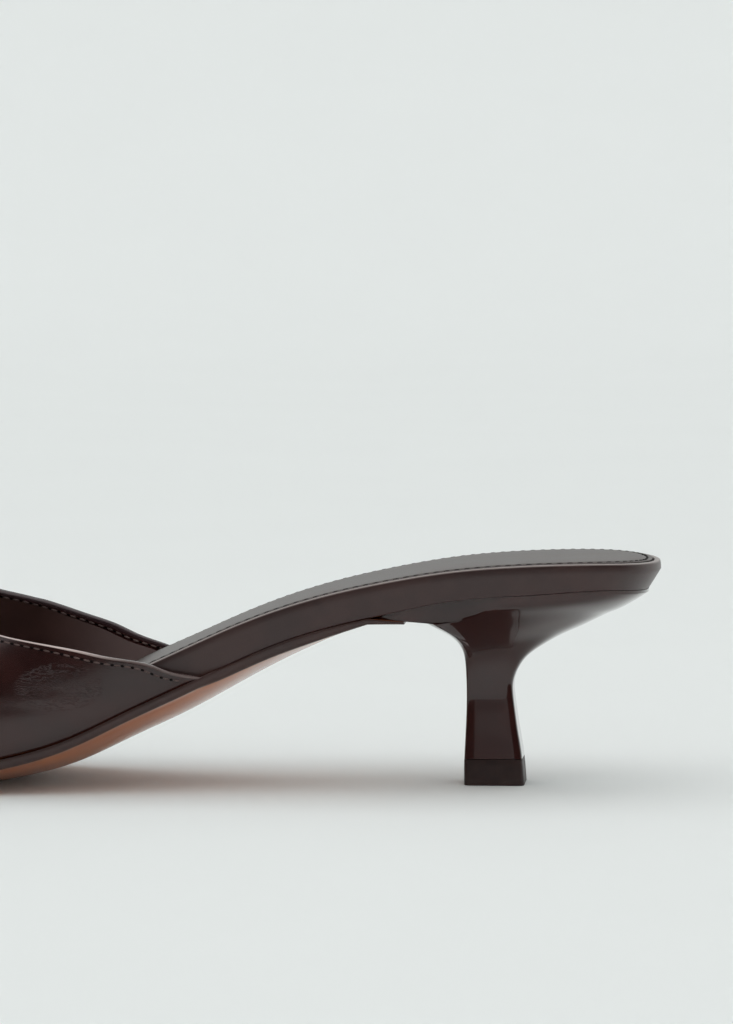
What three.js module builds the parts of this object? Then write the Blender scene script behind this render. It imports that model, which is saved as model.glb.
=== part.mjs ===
// Kitten heel sandal, the left shoe of a pair: a backless, open-toed mule on a slim 45 mm heel.
// Millimetres. X runs to the toe, Y to the outer side of the foot, Z up. The origin is on the
// floor under the middle of the heel's top piece. Stations along the shoe are shares of its
// length, from 0 at the back of the footbed to 1 at the tip of the toe.

import * as THREE from "three";
import { mergeVertices } from "three/addons/utils/BufferGeometryUtils.js";

// Whole shoe
const LENGTH = 248; // back of the footbed to the tip of the toe, along the floor
const REAR_TO_HEEL = 39; // back of the footbed to the middle of the top piece
const HEEL_HEIGHT = 47.6; // floor to the underside of the footbed, at its highest
const EDGE_LIFT = 3.9; // floor to the lower edge of the sole's side, at the ball
const TOE_SPRING = 6.5; // lift of the toe's tip above the ball
const SEAT_WIDTH = 50;
const WAIST_WIDTH = 46.5;
const BALL_WIDTH = 72;
const TOE_WIDTH = 51; // across the footbed a tenth of the length before the tip
const GAP = 0.3; // glue line between pieces that are pressed together

// Footbed: a board and foam in one leather cover
const FOOTBED_THICKNESS = 8;
const FOOTBED_EDGE_ROUND = 0.8;
const FOOTBED_SIDE_DRAFT = 0.9; // how far its underside lies inside its top edge
const FOOTBED_REAR_DRAFT = 1.8; // the same at the very back, over and above the side's
const REAR_ROUND = 25; // length over which the back of the seat closes
const REAR_POWER = 2.35; // 2 is an ellipse, higher is squarer
const TOE_ROUND = 34;
const TOE_POWER = 2;

// Sock: the padded leather cover on top, let into the footbed's rim
const SOCK_RIM = 1.5; // bare rim of the footbed outside the sock
const SOCK_RECESS = 1;
const SOCK_THICKNESS = 0.75;
const SOCK_CROWN = 0.3;

// Outsole
const OUTSOLE_THICKNESS = 2.2;
const OUTSOLE_BREAST = 54.5; // its back edge, from the back of the footbed
const OUTSOLE_BREAST_THICKNESS = 0.6;
const OUTSOLE_SKIVE = 17.5; // length over which it thins to the breast
const OUTSOLE_MARGIN = 0.5; // past the footbed where no upper lies between
const OUTSOLE_LEDGE = 0.7; // past the upper
const LEDGE_LEAD = 8; // how far behind the wings it begins to grow out to that
const LEDGE_EASE = 12; // length over which it grows
const LIP_EASE = 5; // length over which it drops under the heel's lip
const SOLE_CROWN = 5.4; // how far the middle of the sole bulges below its edges

// Upper: one broad vamp of leather and lining
const UPPER_WALL = 1.8;
const VAMP_HEIGHT = 44; // inside height over the footbed's lower edge, at the throat
const VAMP_POWER = 2.25; // squareness of its cross section
const VAMP_BULGE = 1.3; // how far its sides swell past their lower edge
const WING_START = 107; // where the wings meet the sole, from the back of the footbed
const THROAT = 173; // middle of the topline
const MOUTH_MIDDLE = 207; // middle of the open toe's edge
const MOUTH_SIDE = 216; // where that edge meets the sole

// Heel and its top piece
const HEEL_LIP = 67; // front edge of the heel's seat, from the back of the footbed
const HEEL_LIP_EDGE = 0.4;
const HEEL_LIP_SLOPE = 0.165; // how fast the lip thickens towards the back
const HEEL_SEAT_INSET = 0.2; // inside the footbed's lower edge
const HEEL_FOOT_LENGTH = 14; // the top piece on the floor
const HEEL_FOOT_WIDTH = 14;
const HEEL_ROUNDS = 40; // points round each section
const TOP_PIECE_HEIGHT = 6.3;
const TOP_PIECE_INSET = 0.25; // inside the heel at their joint

const OUTER = 1;
const INNER = -1;
const STATIONS = 40;

// Smooth curve through a table's rows: a natural cubic spline of one column over the first.
function smooth(rows, column) {
  const n = rows.length;
  const x = rows.map((row) => row[0]);
  const y = rows.map((row) => row[column]);
  const bend = new Array(n).fill(0);
  const share = new Array(n).fill(0);
  for (let i = 1; i < n - 1; i++) {
    const back = x[i] - x[i - 1];
    const span = x[i + 1] - x[i - 1];
    const pivot = (back / span) * bend[i - 1] + 2;
    bend[i] = (back / span - 1) / pivot;
    const turn = (y[i + 1] - y[i]) / (x[i + 1] - x[i]) - (y[i] - y[i - 1]) / back;
    share[i] = ((6 * turn) / span - (back / span) * share[i - 1]) / pivot;
  }
  for (let i = n - 2; i >= 0; i--) bend[i] = bend[i] * bend[i + 1] + share[i];
  return (at) => {
    const t = Math.min(Math.max(at, x[0]), x[n - 1]);
    let i = 1;
    while (i < n - 1 && t > x[i]) i++;
    const step = x[i] - x[i - 1];
    const a = (x[i] - t) / step;
    const b = 1 - a;
    const curve = (a ** 3 - a) * bend[i - 1] + (b ** 3 - b) * bend[i];
    return a * y[i - 1] + b * y[i] + (curve * step * step) / 6;
  };
}

// Plan of the footbed: where its top edge runs, as shares of the width that each row follows.
const PLAN = [
  // station, width, outer edge, inner edge
  [0.0, SEAT_WIDTH, 0.48, 0.5],
  [0.08, SEAT_WIDTH, 0.495, 0.5],
  [0.16, SEAT_WIDTH, 0.505, 0.505],
  [0.24, SEAT_WIDTH, 0.505, 0.485],
  [0.32, WAIST_WIDTH, 0.55, 0.475],
  [0.4, WAIST_WIDTH, 0.575, 0.445],
  [0.45, WAIST_WIDTH, 0.61, 0.46],
  [0.5, WAIST_WIDTH, 0.665, 0.52],
  [0.56, BALL_WIDTH, 0.47, 0.4],
  [0.62, BALL_WIDTH, 0.5, 0.455],
  [0.68, BALL_WIDTH, 0.505, 0.49],
  [0.74, BALL_WIDTH, 0.475, 0.497],
  [0.8, BALL_WIDTH, 0.43, 0.48],
  [0.86, TOE_WIDTH, 0.53, 0.62],
  [0.9, TOE_WIDTH, 0.47, 0.585],
  [0.95, TOE_WIDTH, 0.38, 0.53],
  [1.0, TOE_WIDTH, 0.28, 0.47],
].map(([station, width, outer, inner]) => [station, width * outer, width * inner]);
const outerEdge = smooth(PLAN, 1);
const innerEdge = smooth(PLAN, 2);

// Side view: the lower edge of the footbed, its thickness there, and the crown of the sole.
const SIDE = [
  // station, rise from ball to seat, toe spring, footbed thickness, sole crown
  [0.0, 0.966, 0, 0.87, 0],
  [0.05, 0.995, 0, 0.79, 0],
  [0.1, 0.98, 0, 0.855, 0],
  [0.15, 0.961, 0, 0.875, 0],
  [0.2, 0.93, 0, 0.88, 0],
  [0.25, 0.866, 0, 0.95, 0],
  [0.3, 0.7985, 0, 0.965, 0.18],
  [0.35, 0.711, 0, 0.975, 0.5],
  [0.4, 0.587, 0, 1.03, 0.78],
  [0.45, 0.4466, 0, 1.055, 0.97],
  [0.5, 0.308, 0, 1.05, 1.0],
  [0.55, 0.166, 0, 1.0, 1.0],
  [0.6, 0.0716, 0, 0.92, 0.96],
  [0.65, 0.017, 0, 0.83, 0.91],
  [0.7, 0, 0.0, 0.76, 0.86],
  [0.75, 0, 0.02, 0.71, 0.82],
  [0.8, 0, 0.09, 0.675, 0.76],
  [0.85, 0, 0.22, 0.645, 0.6],
  [0.9, 0, 0.42, 0.62, 0.45],
  [0.95, 0, 0.68, 0.6, 0.24],
  [1.0, 0, 1.0, 0.59, 0],
];
const riseShare = smooth(SIDE, 1);
const springShare = smooth(SIDE, 2);
const thicknessShare = smooth(SIDE, 3);
const crownShare = smooth(SIDE, 4);

const ballEdgeHeight = EDGE_LIFT + OUTSOLE_THICKNESS + GAP;
const stationAt = (x) => (x + REAR_TO_HEEL) / LENGTH;
const xAt = (station) => station * LENGTH - REAR_TO_HEEL;

function lowerEdge(station) {
  const rise = riseShare(station) * (HEEL_HEIGHT - ballEdgeHeight);
  return ballEdgeHeight + rise + springShare(station) * TOE_SPRING;
}
const upperEdge = (station) =>
  lowerEdge(station) + thicknessShare(station) * FOOTBED_THICKNESS;

// The plan closes at both ends over a rounded length.
function closing(station) {
  const end = (distance, round, power) => {
    const left = Math.max(0, 1 - distance / round);
    return (1 - left ** power) ** (1 / power);
  };
  const back = end(station * LENGTH, REAR_ROUND, REAR_POWER);
  const toe = end((1 - station) * LENGTH, TOE_ROUND, TOE_POWER);
  return back * toe;
}
function planPoint(station, side) {
  const middle = (outerEdge(station) - innerEdge(station)) / 2;
  const half = ((outerEdge(station) + innerEdge(station)) / 2) * closing(station);
  return new THREE.Vector2(xAt(station), middle + side * half);
}

// A point of the plan moved inwards by inset, square to the edge.
function insetPoint(station, side, inset) {
  const point = planPoint(station, side);
  const step = 1e-4;
  const before = planPoint(Math.max(0, station - step), side);
  const after = planPoint(Math.min(1, station + step), side);
  const along = after.sub(before);
  if (station <= 0) along.set(0, side);
  if (station >= 1) along.set(0, -side);
  along.normalize();
  return point.add(new THREE.Vector2(along.y, -along.x).multiplyScalar(side * inset));
}

// How far out a point lies between the middle of the plan, 0, and its edge, 1.
function outness(x, y) {
  const station = stationAt(x);
  const middle = (outerEdge(station) - innerEdge(station)) / 2;
  const half = (outerEdge(station) + innerEdge(station)) / 2;
  return Math.min(1, Math.abs(y - middle) / half);
}
// The underside of the footbed: its lower edge with the sole's crown across it.
function underside(x, y) {
  const station = stationAt(x);
  const crown = Math.max(0, crownShare(station)) * SOLE_CROWN;
  return lowerEdge(station) - crown * (1 - outness(x, y) ** 2);
}

// Closed skin over rings of equal length. A ring that has shrunk to a line closes its own end.
// An open end is closed by rungs between the ring's two halves; the first rung joins point
// ladder to the one before its partner, so that ladder is 0 or, with an edge between, -1.
function skin(rings, { ladder = 0, start = false, end = false } = {}) {
  const size = rings[0].length;
  const points = rings.flat();
  const faces = [];
  for (let i = 0; i + 1 < rings.length; i++)
    for (let k = 0; k < size; k++) {
      const a = i * size + k;
      const b = i * size + ((k + 1) % size);
      faces.push([a, b + size, b], [a, a + size, b + size]);
    }
  const rungs = (first, flip) => {
    for (let k = ladder; k + 1 < ladder + size / 2; k++) {
      const partner = size - 1 + 2 * ladder - k;
      const corners = [k, k + 1, partner - 1, partner];
      const [a, b, c, d] = corners.map((n) => first + ((n + size) % size));
      const pair = flip ? [[a, c, b], [a, d, c]] : [[a, b, c], [a, c, d]];
      faces.push(...pair);
    }
  };
  if (start) rungs(0, false);
  if (end) rungs((rings.length - 1) * size, true);
  const raw = new THREE.BufferGeometry();
  const numbers = points.flatMap((p) => [p.x, p.y, p.z]);
  raw.setAttribute("position", new THREE.Float32BufferAttribute(numbers, 3));
  raw.setIndex(faces.flat());
  const merged = mergeVertices(raw, 1e-3);
  const index = merged.index.array;
  const kept = [];
  for (let i = 0; i < index.length; i += 3) {
    const [a, b, c] = index.slice(i, i + 3);
    if (a !== b && b !== c && c !== a) kept.push(a, b, c);
  }
  merged.setIndex(kept);
  merged.computeVertexNormals();
  return merged;
}

// A plate that follows the plan: rings across it, each with its top from the inner side to the
// outer, the outer side's edge profile, its bottom, and the inner side's edge profile.
// profile rows are [inset(station), height(x, y)] from the top face's border to the bottom's.
function plate({ from = 0, to = 1, profile, columns }) {
  const rings = [];
  for (let i = 0; i <= STATIONS; i++) {
    const wave = (1 - Math.cos((Math.PI * i) / STATIONS)) / 2;
    const station = from + (to - from) * wave;
    const at = ([inset, height], side) => {
      const flat = insetPoint(station, side, inset(station));
      return new THREE.Vector3(flat.x, flat.y, height(flat.x, flat.y));
    };
    const across = (row, start) => {
      const a = at(row, start);
      const b = at(row, -start);
      return Array.from({ length: columns + 1 }, (_, c) => {
        const p = a.clone().lerp(b, c / columns);
        p.z = row[1](p.x, p.y);
        return p;
      });
    };
    const edge = profile.slice(1, -1);
    rings.push([
      ...across(profile[0], INNER),
      ...edge.map((row) => at(row, OUTER)),
      ...across(profile[profile.length - 1], OUTER),
      ...edge.map((row) => at(row, INNER)).reverse(),
    ]);
  }
  return rings;
}

const fixed = (value) => () => value;
const draft = (station) => {
  const rear = Math.max(0, 1 - (station * LENGTH) / REAR_ROUND);
  return FOOTBED_SIDE_DRAFT + FOOTBED_REAR_DRAFT * rear ** 2;
};
const topAt = (drop) => (x) => upperEdge(stationAt(x)) - drop;
const underAt = (lift) => (x, y) => underside(x, y) + lift;

function footbed() {
  const round = FOOTBED_EDGE_ROUND;
  return skin(
    plate({
      columns: 6,
      profile: [
        [fixed(SOCK_RIM + 0.15), topAt(SOCK_RECESS)],
        [fixed(SOCK_RIM), topAt(0)],
        [fixed(round * 0.3), topAt(round * 0.3)],
        [fixed(0), topAt(round)],
        [(s) => draft(s) * 0.55, (x, y) => (topAt(round)(x) + underAt(0)(x, y)) / 2],
        [(s) => draft(s), underAt(round * 0.4)],
        [(s) => draft(s) + round * 0.4, underAt(0)],
      ],
    }),
  );
}

function sock() {
  const lift = (x, y) => SOCK_CROWN * (1 - outness(x, y) ** 4);
  const inset = SOCK_RIM + GAP + 0.2;
  const base = SOCK_RECESS - GAP;
  const top = base - SOCK_THICKNESS;
  return skin(
    plate({
      columns: 6,
      profile: [
        [fixed(inset + 1.2), (x, y) => topAt(top)(x) + lift(x, y)],
        [fixed(inset + 0.25), topAt(top + 0.25)],
        [fixed(inset), topAt(top + 0.6)],
        [fixed(inset), topAt(base)],
      ],
    }),
  );
}

// The outsole grows past the footbed where the upper's wall stands on it.
function outsoleOutset(station) {
  const ramp = (at, length) => THREE.MathUtils.smoothstep(station * LENGTH, at, at + length);
  const wings = ramp(WING_START - LEDGE_LEAD, LEDGE_EASE);
  const covered = wings * (1 - ramp(MOUTH_SIDE - LEDGE_LEAD / 4, LEDGE_EASE));
  return OUTSOLE_MARGIN + covered * (GAP + UPPER_WALL + OUTSOLE_LEDGE - OUTSOLE_MARGIN);
}
// Room that the heel's lip takes between the footbed and the outsole.
const lipBack = (x) => HEEL_LIP - REAR_TO_HEEL - x;
const lipThickness = (x) => HEEL_LIP_EDGE + HEEL_LIP_SLOPE * Math.max(0, lipBack(x));
function lipRoom(x) {
  const eased = THREE.MathUtils.smoothstep(lipBack(x) + LIP_EASE, 0, LIP_EASE * 0.9);
  return eased * (lipThickness(x) + GAP * 1.4);
}
function outsole() {
  const top = (x, y) => underside(x, y) - GAP - lipRoom(x);
  const thickness = (x) => {
    const ahead = (x + REAR_TO_HEEL - OUTSOLE_BREAST) / OUTSOLE_SKIVE;
    const full = THREE.MathUtils.clamp(ahead, 0, 1);
    return THREE.MathUtils.lerp(OUTSOLE_BREAST_THICKNESS, OUTSOLE_THICKNESS, full);
  };
  const bottom = (x, y) => Math.max(0, top(x, y) - thickness(x));
  const out = (share) => (s) => draft(s) - outsoleOutset(s) * share;
  const mid = (share) => (x, y) => THREE.MathUtils.lerp(top(x, y), bottom(x, y), share);
  const rings = plate({
    from: OUTSOLE_BREAST / LENGTH,
    columns: 10,
    profile: [
      [(s) => out(1)(s) + 0.3, mid(0)],
      [out(1), mid(0.16)],
      [out(1), mid(0.84)],
      [(s) => out(1)(s) + 0.4, mid(1)],
    ],
  });
  return skin(rings, { ladder: -1, start: true });
}

// Upper. A cross section runs from the outer side's lower edge, turn 0, over the ridge of the
// instep, 90, to the inner side's lower edge, 180.
const INSTEP = [
  // station, ridge's height over the lower edge, ridge's place across
  [0.42, 1.62, -0.02],
  [0.5, 1.47, -0.04],
  [0.56, 1.31, -0.06],
  [0.62, 1.16, -0.075],
  [0.68, 1.03, -0.085],
  [0.74, 0.92, -0.095],
  [0.8, 0.81, -0.105],
  [0.86, 0.7, -0.115],
  [0.92, 0.6, -0.12],
];
const ridgeHeight = smooth(INSTEP, 1);
const ridgeAcross = smooth(INSTEP, 2);

// The topline and the open toe's edge, each as its way from the wings to the middle.
const TOPLINE = [
  // turn in degrees, outer side, inner side
  [0, 0, 0],
  [2, 0.075, 0.085],
  [5, 0.155, 0.175],
  [10, 0.285, 0.29],
  [16, 0.41, 0.39],
  [23, 0.553, 0.505],
  [30, 0.69, 0.612],
  [38, 0.8, 0.73],
  [46, 0.875, 0.84],
  [58, 0.945, 0.93],
  [72, 0.985, 0.98],
  [90, 1, 1],
];
const toplineOuter = smooth(TOPLINE, 1);
const toplineInner = smooth(TOPLINE, 2);

function lastPoint(station, turn) {
  const side = turn <= 90 ? OUTER : INNER;
  const angle = THREE.MathUtils.degToRad(turn);
  const reach = Math.abs(Math.cos(angle)) ** (2 / VAMP_POWER);
  const rise = Math.sin(angle) ** (2 / VAMP_POWER);
  const ridge = ridgeAcross(station) * BALL_WIDTH;
  const foot = insetPoint(station, side, -GAP);
  const swell = side * VAMP_BULGE * Math.sin(Math.PI * Math.min(1, rise / 0.6));
  return new THREE.Vector3(
    THREE.MathUtils.lerp(xAt(station), foot.x, reach),
    THREE.MathUtils.lerp(ridge, foot.y, reach) + swell,
    lowerEdge(station) + ridgeHeight(station) * VAMP_HEIGHT * rise,
  );
}
// The same point moved out through the wall.
function wallPoint(station, turn, out) {
  const step = 0.002;
  const tilt = 0.6;
  const low = Math.max(0.01, turn - tilt);
  const high = Math.min(179.99, turn + tilt);
  const along = lastPoint(station + step, turn).sub(lastPoint(station - step, turn));
  const over = lastPoint(station, high).sub(lastPoint(station, low));
  const normal = over.cross(along).normalize();
  const point = lastPoint(station, turn);
  const foot = point.z;
  point.addScaledVector(normal, out);
  if (turn <= 0 || turn >= 180) point.z = foot;
  return point;
}
function upper() {
  const turns = 44;
  const lengths = 14;
  const roll = 0.5; // how far the folded edges round out
  const rings = [];
  for (let i = 0; i <= turns; i++) {
    const turn = 180 - (180 * i) / turns;
    const fromSide = turn <= 90 ? turn : 180 - turn;
    const way = (turn <= 90 ? toplineOuter : toplineInner)(fromSide);
    const back = (WING_START + (THROAT - WING_START) * way) / LENGTH;
    const bow = Math.sin(THREE.MathUtils.degToRad(turn)) ** 1.5;
    const front = (MOUTH_SIDE + (MOUTH_MIDDLE - MOUTH_SIDE) * bow) / LENGTH;
    const at = (share, out) => wallPoint(front + (back - front) * share, turn, out);
    const row = (out) =>
      Array.from({ length: lengths + 1 }, (_, j) => at(j / lengths, out));
    const overhang = roll / ((front - back) * LENGTH);
    rings.push([
      ...row(UPPER_WALL),
      at(1 + overhang, UPPER_WALL * 0.72),
      at(1 + overhang, UPPER_WALL * 0.28),
      ...row(0).reverse(),
      at(-overhang, UPPER_WALL * 0.28),
      at(-overhang, UPPER_WALL * 0.72),
    ]);
  }
  return skin(rings, { ladder: -1, start: true, end: true });
}

// Heel. Its stem, from the floor up to where the cup begins.
const STEM = [
  // level as a share of the heel's height, front and back of the foot's length, width
  [0.0, 0.507, 0.493, 1.0],
  [0.132, 0.489, 0.421, 0.95],
  [0.2, 0.479, 0.388, 0.915],
  [0.265, 0.468, 0.357, 0.88],
  [0.363, 0.45, 0.307, 0.82],
  [0.46, 0.436, 0.275, 0.785],
  [0.515, 0.436, 0.286, 0.785],
  [0.563, 0.446, 0.346, 0.8],
];
const stemFront = smooth(STEM, 1);
const stemBack = smooth(STEM, 2);
const stemWidth = smooth(STEM, 3);

// Its cup, from the stem's top to the seat's edge: how far it has grown outwards and risen.
const CUP = [
  // front growth, front rise, back growth, back rise, side growth, side rise
  [0, 0, 0, 0, 0, 0],
  [0.022, 0.35, 0.062, 0.164, 0.06, 0.22],
  [0.085, 0.58, 0.175, 0.317, 0.15, 0.4],
  [0.18, 0.72, 0.328, 0.458, 0.28, 0.55],
  [0.29, 0.83, 0.48, 0.556, 0.44, 0.66],
  [0.38, 0.91, 0.633, 0.68, 0.62, 0.75],
  [0.418, 1.1, 0.715, 0.735, 0.73, 0.8],
  [0.66, 1.1, 0.789, 0.79, 0.82, 0.83],
  [0.9, 1.1, 0.9, 0.89, 0.95, 0.92],
  [1.0, 1.1, 1.0, 0.965, 1.0, 0.975],
];

// The cup's rows, and a row halfway between each two of the curved ones.
function cupRows() {
  const rows = CUP.map((row, index) => [index, ...row]);
  const columns = CUP[0].map((_, column) => smooth(rows, column + 1));
  const halves = [0.5, 1, 1.5, 2, 2.5, 3, 3.5, 4, 5, 6, 7, 8, 9];
  return halves.map((index) => columns.map((column) => column(index)));
}

// Points round a section, from the front over the inner side, to the back and the outer side.
function round(point) {
  return Array.from({ length: HEEL_ROUNDS }, (_, k) => {
    const angle = (2 * Math.PI * (k + 0.5)) / HEEL_ROUNDS;
    return point(Math.cos(angle), -Math.sin(angle));
  });
}
const squared = (value, power) => Math.sign(value) * Math.abs(value) ** (2 / power);

function stemSection(z, inset = 0) {
  const level = z / HEEL_HEIGHT;
  const front = stemFront(level) * HEEL_FOOT_LENGTH - inset;
  const back = -stemBack(level) * HEEL_FOOT_LENGTH + inset;
  const half = (stemWidth(level) * HEEL_FOOT_WIDTH) / 2 - inset;
  return round((c, s) => {
    const power = c > 0 ? 6 : 3.6;
    const x = (front + back) / 2 + ((front - back) / 2) * squared(c, power);
    return new THREE.Vector3(x, half * squared(s, power), z);
  });
}
function seatSection() {
  const middle = REAR_ROUND - REAR_TO_HEEL;
  const ahead = HEEL_LIP - REAR_ROUND;
  return round((c, s) => {
    const side = Math.sign(s);
    const reach = c > 0 ? ahead * squared(c, 6) : REAR_ROUND * squared(c, REAR_POWER);
    const station = stationAt(middle + reach);
    const edge = insetPoint(station, side, draft(station) + HEEL_SEAT_INSET);
    if (c > 0) edge.y *= Math.abs(squared(s, 6));
    return edge;
  });
}
function heel() {
  const joint = TOP_PIECE_HEIGHT;
  const stemTop = STEM[STEM.length - 1][0] * HEEL_HEIGHT;
  const stem = [0, 0.12, 0.3, 0.5, 0.7, 0.86, 1].map((share) =>
    stemSection(THREE.MathUtils.lerp(joint, stemTop, share)));
  const root = stem[stem.length - 1];
  const seat = seatSection();
  const seatTop = (p) => underside(p.x, p.y) - GAP;
  const lipFront = { x: HEEL_LIP - REAR_TO_HEEL, y: 0 };
  const breast = OUTSOLE_BREAST - REAR_TO_HEEL;
  const cup = cupRows().map(([frontGrow, frontRise, backGrow, backRise, sideGrow, sideRise]) =>
    seat.map((edge, k) => {
      const angle = (2 * Math.PI * (k + 0.5)) / HEEL_ROUNDS;
      const ahead = Math.cos(angle);
      const end = ahead > 0 ? THREE.MathUtils.smoothstep(ahead, 0, 0.8) : ahead ** 2;
      const [endGrow, endRise] = ahead > 0 ? [frontGrow, frontRise] : [backGrow, backRise];
      const grow = THREE.MathUtils.lerp(sideGrow, endGrow, end);
      const rise = THREE.MathUtils.lerp(sideRise, endRise, end);
      const x = THREE.MathUtils.lerp(root[k].x, edge.x, grow);
      const y = THREE.MathUtils.lerp(root[k].y, edge.y, grow);
      const level = THREE.MathUtils.lerp(seatTop(edge), seatTop(lipFront), ahead > 0 ? end : 0);
      const z = THREE.MathUtils.lerp(stemTop, level, rise);
      const room = x > breast - LIP_EASE ? lipThickness(x) : HEEL_LIP_EDGE;
      return new THREE.Vector3(x, y, Math.min(z, seatTop({ x, y }) - room));
    }));
  const top = seat.map((edge) => new THREE.Vector3(edge.x, edge.y, seatTop(edge)));
  return skin([...stem, ...cup, top], { start: true, end: true });
}
function topPiece() {
  const joint = stemSection(TOP_PIECE_HEIGHT, TOP_PIECE_INSET);
  return skin([stemSection(0), joint], { start: true, end: true });
}

function build(name, geometry, material) {
  const mesh = new THREE.Mesh(geometry, material);
  mesh.name = name;
  return mesh;
}

const leather = new THREE.MeshStandardMaterial({ color: 0x2e1b19, roughness: 0.3 });
const lining = new THREE.MeshStandardMaterial({ color: 0x3a2826, roughness: 0.5 });
const tan = new THREE.MeshStandardMaterial({ color: 0xa86c48, roughness: 0.45 });
const lacquer = new THREE.MeshStandardMaterial({ color: 0x2a1816, roughness: 0.15 });
const rubber = new THREE.MeshStandardMaterial({ color: 0x241514, roughness: 0.5 });

const sandal = new THREE.Group();
sandal.add(
  build("footbed", footbed(), leather),
  build("sock", sock(), lining),
  build("outsole", outsole(), tan),
  build("upper", upper(), leather),
  build("heel", heel(), lacquer),
  build("top_piece", topPiece(), rubber),
);

export default sandal;
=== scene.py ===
# %% [markdown]
# A kitten heel sandal, the left shoe of a pair: a backless, open-toed mule in dark oxblood
# leather on a slim lacquered heel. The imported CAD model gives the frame: metres, X to the toe,
# Y to the outer side of the foot, Z up, and the origin on the floor under the heel's top piece.
# Every piece below is rebuilt in that same frame with the detail that the plain solids lack.

# %% Load the frame
import math
from functools import lru_cache

import bmesh
import bpy
from mathutils import Matrix, Vector


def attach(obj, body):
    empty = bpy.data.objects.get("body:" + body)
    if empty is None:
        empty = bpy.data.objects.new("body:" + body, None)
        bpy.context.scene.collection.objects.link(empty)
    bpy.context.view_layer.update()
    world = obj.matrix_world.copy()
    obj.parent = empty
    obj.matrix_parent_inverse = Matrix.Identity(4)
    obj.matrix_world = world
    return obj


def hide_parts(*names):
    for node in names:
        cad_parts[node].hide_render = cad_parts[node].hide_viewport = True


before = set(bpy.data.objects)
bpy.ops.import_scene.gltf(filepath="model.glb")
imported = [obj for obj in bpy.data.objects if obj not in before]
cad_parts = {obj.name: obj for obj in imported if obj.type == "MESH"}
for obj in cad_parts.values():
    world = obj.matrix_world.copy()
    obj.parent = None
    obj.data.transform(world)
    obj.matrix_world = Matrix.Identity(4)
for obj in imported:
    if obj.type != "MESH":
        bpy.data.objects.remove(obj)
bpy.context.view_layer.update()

# %% [markdown]
# The camera comes first, because every later look depends on it. The picture shows the shoe's
# outer side nearly square on, from a little above, and its far edges are hardly smaller than its
# near ones. A long lens a metre and a half away repeats that flat perspective. A wide lens close
# by would make the heel's cup look larger than it is.

# %% Camera
MM = 0.001
CAMERA_PLACE = (-82.2, 1500, 170)
CAMERA_TURN = 4.3  # degrees round the upright, from looking straight along -Y
CAMERA_PITCH = 4.03  # degrees down
CAMERA_LENS = 224.4
SENSOR_WIDTH = 36


def place_object(name, data):
    """Puts a mesh, a lamp or a camera into the scene, at the origin."""
    thing = bpy.data.objects.new(name, data)
    bpy.context.scene.collection.objects.link(thing)
    return thing


camera = place_object("camera", bpy.data.cameras.new("camera"))
camera.data.lens = CAMERA_LENS
camera.data.sensor_width = SENSOR_WIDTH
camera.data.clip_start = 0.05
camera.location = Vector(CAMERA_PLACE) * MM
camera.rotation_euler = (math.radians(90 - CAMERA_PITCH), 0, math.radians(180 + CAMERA_TURN))
bpy.context.scene.camera = camera
bpy.context.view_layer.update()
print("camera looks along", [round(c, 3) for c in camera.matrix_world.to_3x3() @ Vector((0, 0, -1))])

# %% [markdown]
# Finishes are written as Python expressions. `Value` wraps one socket, and its operators add
# Math nodes. `Finish` makes a material and adds any other node with one method, `add`, which
# takes the node's type, its settings, and the values or links of its sockets.

# %% Shader helpers
class Value:
    """A number that changes over a surface."""

    def __init__(self, finish, socket):
        self.finish = finish
        self.socket = socket

    def math(self, operation, *others):
        inputs = dict(enumerate([self, *others]))
        return self.finish.add("ShaderNodeMath", inputs, operation=operation)

    def __add__(self, other):
        return self.math("ADD", other)

    def __sub__(self, other):
        return self.math("SUBTRACT", other)

    def __rsub__(self, other):
        return self.math("MULTIPLY", -1).math("ADD", other)

    def __mul__(self, other):
        return self.math("MULTIPLY", other)

    def __pow__(self, other):
        return self.math("POWER", other)

    __radd__ = __add__
    __rmul__ = __mul__

    def ease(self, start, end):
        """0 below start, 1 above end, and a soft step between."""
        inputs = {"Value": self, "From Min": start, "From Max": end}
        return self.finish.add("ShaderNodeMapRange", inputs, interpolation_type="SMOOTHSTEP")


def socket_name(word):
    return word.replace("_", " ").title().replace("Ior", "IOR")


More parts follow.
